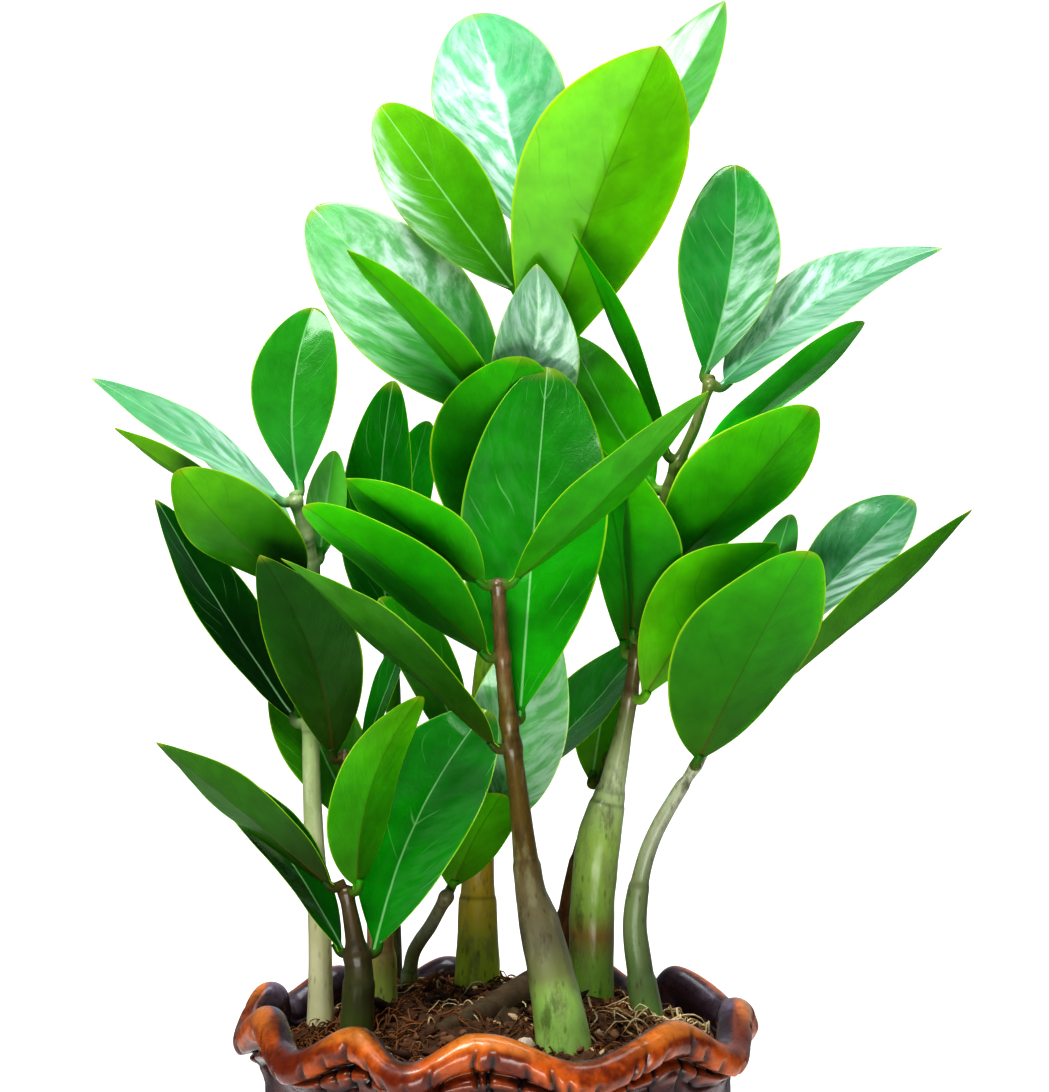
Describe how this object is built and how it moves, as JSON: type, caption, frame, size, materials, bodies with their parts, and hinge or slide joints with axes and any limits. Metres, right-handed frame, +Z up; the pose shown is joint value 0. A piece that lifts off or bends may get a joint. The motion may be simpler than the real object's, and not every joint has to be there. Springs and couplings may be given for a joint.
{
  "type": "potted zz plant",
  "caption": "Young zz plant with thick glossy leaves on several stems, growing in soil in a round glazed pot with a ruffled rim.",
  "frame": {"origin": "centre of the pot's flat underside, on its upright axis", "axes": "+Z up along the pot's axis, -Y towards the front of the plant, +X to the viewer's right"},
  "size_m": [0.249, 0.1471, 0.397],
  "materials": {
    "pot_glaze": "gloss",
    "potting_mix": "matte",
    "rhizome": "matte",
    "stem_olive": "satin",
    "stem_cream": "satin",
    "stem_dark": "satin",
    "stem_sheath": "matte",
    "leaf_light": "gloss",
    "leaf_deep": "gloss"
  },
  "bodies": {
    "root": {"pot": "pot_glaze", "soil": "potting_mix", "rhizome": "rhizome", "stem_front": "stem_olive", "stem_tall": "stem_olive", "stem_right": "stem_olive", "stem_slim": "stem_olive", "stem_pale": "stem_cream", "stem_left": "stem_olive", "stem_dark": "stem_dark", "stem_twig": "stem_dark", "stem_sheath": "stem_sheath", "stem_back": "stem_olive", "leaf_front_1": "leaf_deep", "leaf_front_2": "leaf_light", "leaf_front_3": "leaf_light", "leaf_front_4": "leaf_deep", "leaf_front_5": "leaf_deep", "leaf_tall_1": "leaf_deep", "leaf_tall_2": "leaf_light", "leaf_tall_3": "leaf_deep", "leaf_tall_4": "leaf_deep", "leaf_tall_5": "leaf_deep", "leaf_tall_6": "leaf_light", "leaf_tall_7": "leaf_deep", "leaf_tall_8": "leaf_light", "leaf_tall_9": "leaf_deep", "leaf_tall_10": "leaf_deep", "leaf_tall_11": "leaf_deep", "leaf_right_1": "leaf_deep", "leaf_right_2": "leaf_deep", "leaf_right_3": "leaf_deep", "leaf_right_4": "leaf_deep", "leaf_right_5": "leaf_light", "leaf_right_6": "leaf_deep", "leaf_right_7": "leaf_light", "leaf_right_8": "leaf_deep", "leaf_right_9": "leaf_light", "leaf_slim_1": "leaf_light", "leaf_slim_2": "leaf_deep", "leaf_slim_3": "leaf_deep", "leaf_slim_4": "leaf_deep", "leaf_pale_1": "leaf_deep", "leaf_pale_2": "leaf_deep", "leaf_pale_3": "leaf_deep", "leaf_pale_4": "leaf_deep", "leaf_pale_5": "leaf_deep", "leaf_pale_6": "leaf_deep", "leaf_pale_7": "leaf_deep", "leaf_left_1": "leaf_deep", "leaf_left_2": "leaf_deep", "leaf_left_3": "leaf_deep", "leaf_dark_1": "leaf_deep", "leaf_dark_2": "leaf_light", "leaf_dark_3": "leaf_deep", "leaf_dark_4": "leaf_deep", "leaf_twig_1": "leaf_deep", "leaf_sheath_1": "leaf_deep", "leaf_back_1": "leaf_deep", "leaf_back_2": "leaf_deep"}
  },
  "joints": []
}
